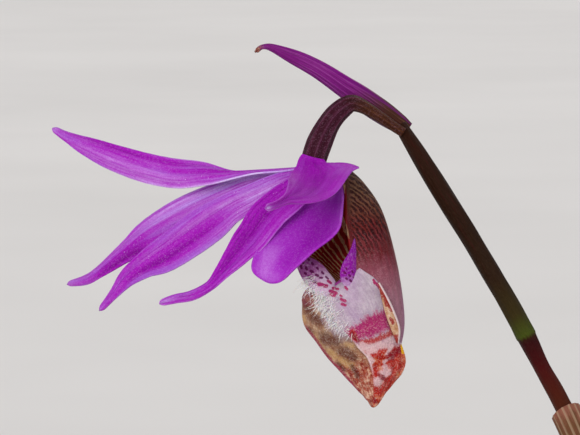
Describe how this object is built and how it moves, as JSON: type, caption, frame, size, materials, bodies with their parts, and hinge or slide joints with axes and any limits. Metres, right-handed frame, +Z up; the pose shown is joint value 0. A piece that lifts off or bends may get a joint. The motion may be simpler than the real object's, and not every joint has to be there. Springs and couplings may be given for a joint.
{
  "type": "potted calypso orchid",
  "caption": "Potted calypso orchid: a nodding slipper bloom with spread sepals and petals on an arched scape, with a basal leaf and corm in a plain clay pot.",
  "frame": {"origin": "centre of the pot's foot, on the surface that the pot stands on", "axes": "+Z up through the pot and the bloom, +X to the right of someone who looks at the bloom as it is pictured, +Y away from them"},
  "size_m": [0.088, 0.088, 0.1612],
  "materials": {
    "terracotta": "matte",
    "soil": "matte",
    "corm_skin": "matte",
    "leaf_green": "satin",
    "stem": "satin",
    "sheath": "satin",
    "bract": "satin",
    "ovary": "satin",
    "tepal": "satin",
    "column": "satin",
    "anther": "satin",
    "lip": "satin"
  },
  "bodies": {
    "root": {"pot": "terracotta", "soil": "soil", "corm": "corm_skin", "leaf": "leaf_green", "scape": "stem", "upper_sheath": "sheath", "lower_sheath": "sheath", "bract": "bract", "ovary": "ovary", "dorsal_sepal": "tepal", "far_sepal": "tepal", "near_sepal": "tepal", "far_petal": "tepal", "near_petal": "tepal", "column": "column", "anther_cap": "anther", "lip": "lip"}
  },
  "joints": []
}
